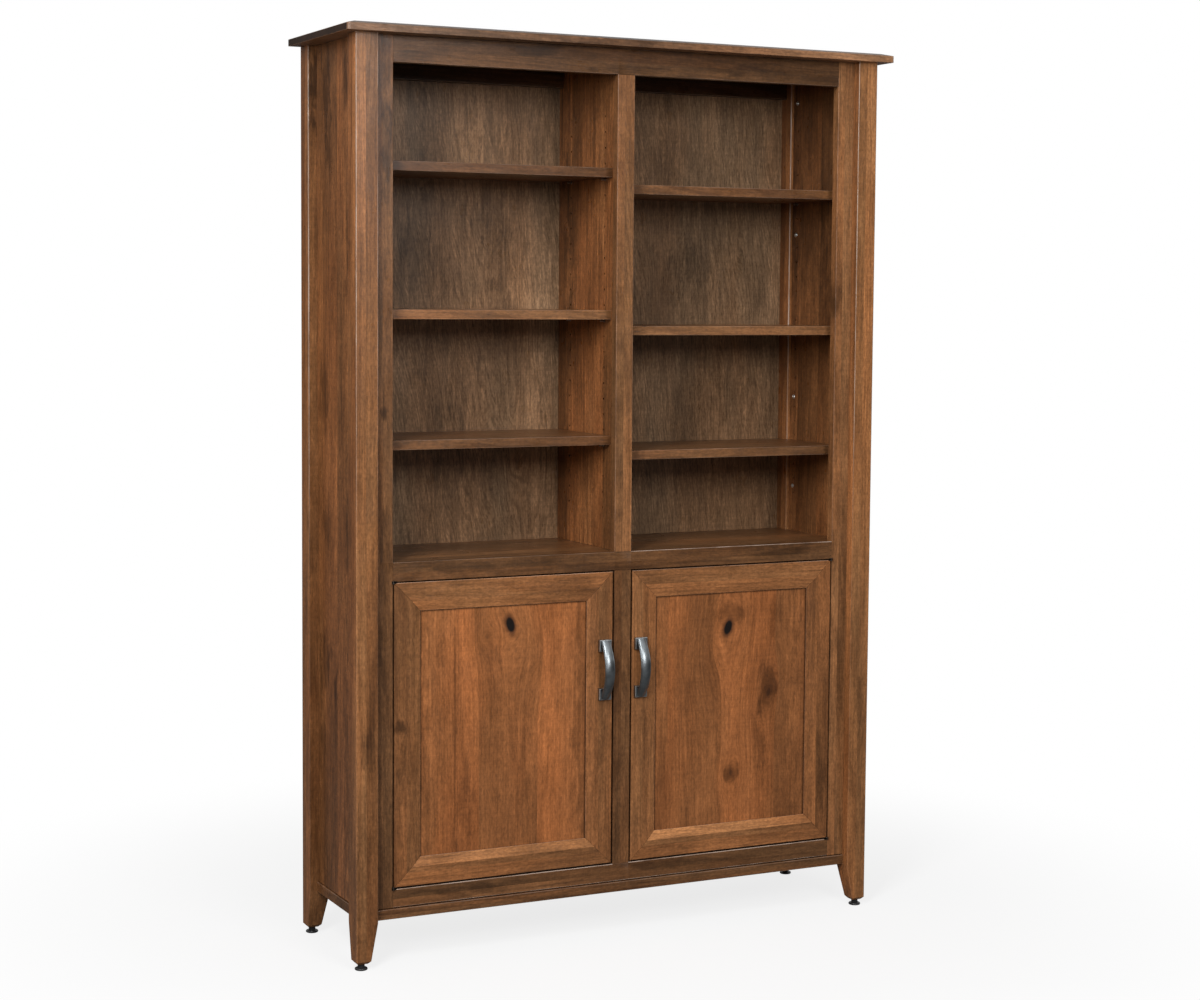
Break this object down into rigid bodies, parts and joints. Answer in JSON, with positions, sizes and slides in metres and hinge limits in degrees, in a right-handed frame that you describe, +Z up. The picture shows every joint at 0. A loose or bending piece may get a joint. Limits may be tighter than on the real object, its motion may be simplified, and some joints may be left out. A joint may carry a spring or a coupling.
{
  "type": "bookcase with cabinet doors",
  "caption": "Tall bookcase with open adjustable shelves in two bays above a pair of framed cabinet doors, on tapered legs.",
  "frame": {"origin": "on the floor, under the middle of the bounding box", "axes": "+Z up, the doors face -Y, +X towards the right-hand door as seen from the front"},
  "size_m": [1.2192, 0.3454, 1.8288],
  "materials": {
    "case_wood": "satin stained reddish brown, with dark patches and eased arrises",
    "frame_wood": "satin stained darker brown, streaked grain",
    "door_wood": "satin stained orange brown, with knots",
    "shelf_wood": "satin stained dark brown",
    "back_wood": "stained greyish brown plywood with vertical grain",
    "handle_metal": "dark pewter, satin",
    "hinge_metal": "dark bronze, satin",
    "catch": "brown moulded plastic",
    "glide": "black moulded plastic"
  },
  "bodies": {
    "carcass": {"top_board": "case_wood", "front_left_post": "case_wood", "rear_left_post": "case_wood", "front_right_post": "case_wood", "rear_right_post": "case_wood", "front_left_glide": "glide", "rear_left_glide": "glide", "front_right_glide": "glide", "rear_right_glide": "glide", "left_side_panel": "case_wood", "right_side_panel": "case_wood", "upper_divider": "shelf_wood", "lower_divider": "shelf_wood", "back_panel": "back_wood", "rear_top_cleat": "shelf_wood", "left_stile": "frame_wood", "right_stile": "frame_wood", "upper_mid_stile": "frame_wood", "lower_mid_stile": "frame_wood", "top_rail": "frame_wood", "middle_rail": "frame_wood", "bottom_rail": "frame_wood", "front_base_strip": "frame_wood", "left_base_strip": "case_wood", "right_base_strip": "case_wood", "fixed_deck": "shelf_wood", "cabinet_floor": "shelf_wood", "left_door_top_hinge_frame_leaf": "hinge_metal", "left_door_bottom_hinge_frame_leaf": "hinge_metal", "left_door_catch": "catch", "right_door_top_hinge_frame_leaf": "hinge_metal", "right_door_bottom_hinge_frame_leaf": "hinge_metal", "right_door_catch": "catch"},
    "left_door": {"left_door_hinge_stile": "door_wood", "left_door_latch_stile": "door_wood", "left_door_top_rail": "door_wood", "left_door_bottom_rail": "door_wood", "left_door_panel": "door_wood", "left_door_top_hinge_door_leaf": "hinge_metal", "left_door_bottom_hinge_door_leaf": "hinge_metal", "left_door_strike_plate": "hinge_metal", "left_handle": "handle_metal"},
    "right_door": {"right_door_hinge_stile": "door_wood", "right_door_latch_stile": "door_wood", "right_door_top_rail": "door_wood", "right_door_bottom_rail": "door_wood", "right_door_panel": "door_wood", "right_door_top_hinge_door_leaf": "hinge_metal", "right_door_bottom_hinge_door_leaf": "hinge_metal", "right_door_strike_plate": "hinge_metal", "right_handle": "handle_metal"},
    "left_shelf_1": {"left_shelf_1": "shelf_wood"},
    "left_shelf_2": {"left_shelf_2": "shelf_wood"},
    "left_shelf_3": {"left_shelf_3": "shelf_wood"},
    "left_cabinet_shelf": {"left_cabinet_shelf": "shelf_wood"},
    "right_shelf_1": {"right_shelf_1": "shelf_wood"},
    "right_shelf_2": {"right_shelf_2": "shelf_wood"},
    "right_shelf_3": {"right_shelf_3": "shelf_wood"},
    "right_cabinet_shelf": {"right_cabinet_shelf": "shelf_wood"}
  },
  "joints": [
    {"name": "left_door_hinge", "type": "hinge", "parent": "carcass", "child": "left_door", "pos_m": [-0.5, -0.1271, 0.454], "axis": [0, 0, -1], "range_deg": [0, 110]},
    {"name": "right_door_hinge", "type": "hinge", "parent": "carcass", "child": "right_door", "pos_m": [0.5, -0.1271, 0.454], "axis": [0, 0, 1], "range_deg": [0, 110]},
    {"name": "left_shelf_1_lift", "type": "slide", "parent": "carcass", "child": "left_shelf_1", "axis": [0, 0, 1], "range_m": [0, 0.032]},
    {"name": "left_shelf_2_lift", "type": "slide", "parent": "carcass", "child": "left_shelf_2", "axis": [0, 0, 1], "range_m": [0, 0.032]},
    {"name": "left_shelf_3_lift", "type": "slide", "parent": "carcass", "child": "left_shelf_3", "axis": [0, 0, 1], "range_m": [0, 0.032]},
    {"name": "left_cabinet_shelf_lift", "type": "slide", "parent": "carcass", "child": "left_cabinet_shelf", "axis": [0, 0, 1], "range_m": [0, 0.032]},
    {"name": "right_shelf_1_lift", "type": "slide", "parent": "carcass", "child": "right_shelf_1", "axis": [0, 0, 1], "range_m": [0, 0.032]},
    {"name": "right_shelf_2_lift", "type": "slide", "parent": "carcass", "child": "right_shelf_2", "axis": [0, 0, 1], "range_m": [0, 0.032]},
    {"name": "right_shelf_3_lift", "type": "slide", "parent": "carcass", "child": "right_shelf_3", "axis": [0, 0, 1], "range_m": [0, 0.032]},
    {"name": "right_cabinet_shelf_lift", "type": "slide", "parent": "carcass", "child": "right_cabinet_shelf", "axis": [0, 0, 1], "range_m": [0, 0.032]}
  ]
}
